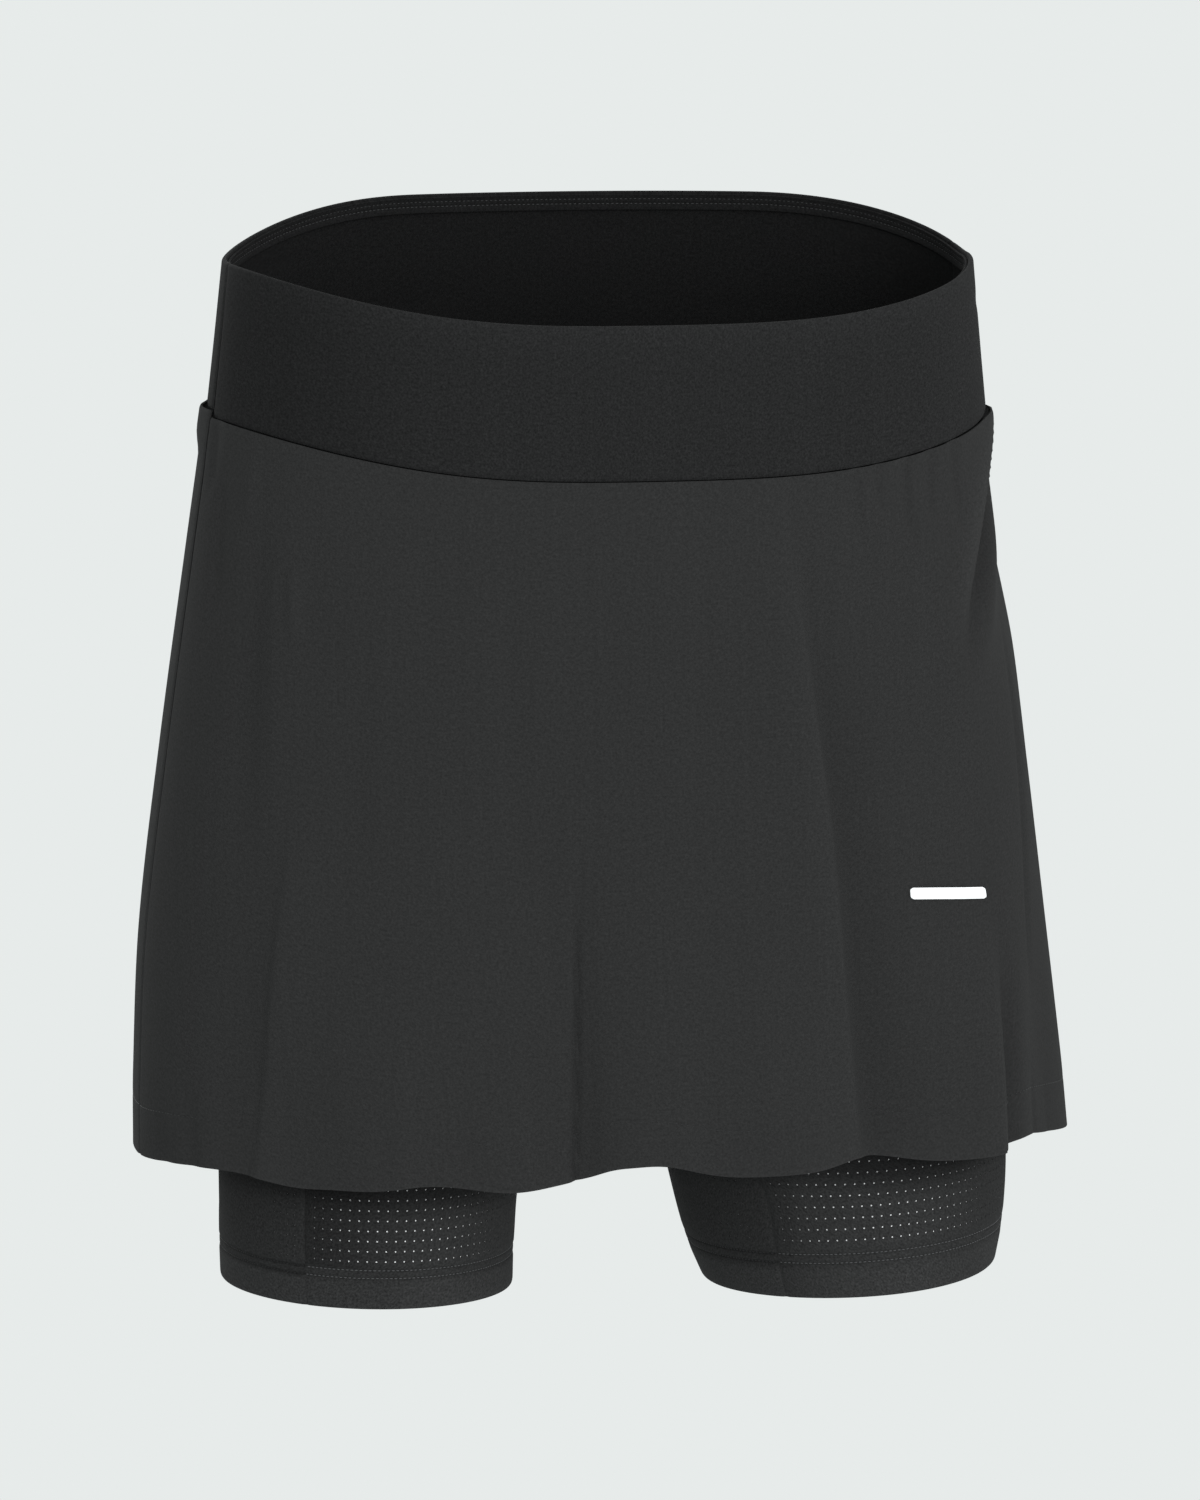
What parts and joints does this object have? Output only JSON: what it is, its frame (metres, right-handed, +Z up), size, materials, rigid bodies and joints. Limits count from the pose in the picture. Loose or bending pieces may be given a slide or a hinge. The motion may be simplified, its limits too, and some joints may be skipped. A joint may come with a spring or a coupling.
{
  "type": "cycling skort",
  "caption": "Cycling skort standing open as worn: a wide flat waistband, a flared skirt, and fitted perforated legs that show below its hem.",
  "frame": {"origin": "middle of the waist opening, level with the waistband's top edge at the sides", "axes": "+Z up, -Y to the front, -X to the wearer's right"},
  "size_m": [0.3937, 0.2567, 0.4485],
  "materials": {
    "waistband_knit": "matt smooth knit",
    "skirt_woven": "matt fine weave",
    "shorts_knit": "matt perforated knit",
    "reflective_film": "satin film"
  },
  "bodies": {
    "root": {"waistband_front": "waistband_knit", "waistband_back": "waistband_knit", "waist_edge_strip": "waistband_knit", "skirt_front": "skirt_woven", "skirt_back": "skirt_woven", "shorts_right_front": "shorts_knit", "shorts_right_back": "shorts_knit", "shorts_left_front": "shorts_knit", "shorts_left_back": "shorts_knit", "reflective_bar": "reflective_film"}
  },
  "joints": []
}
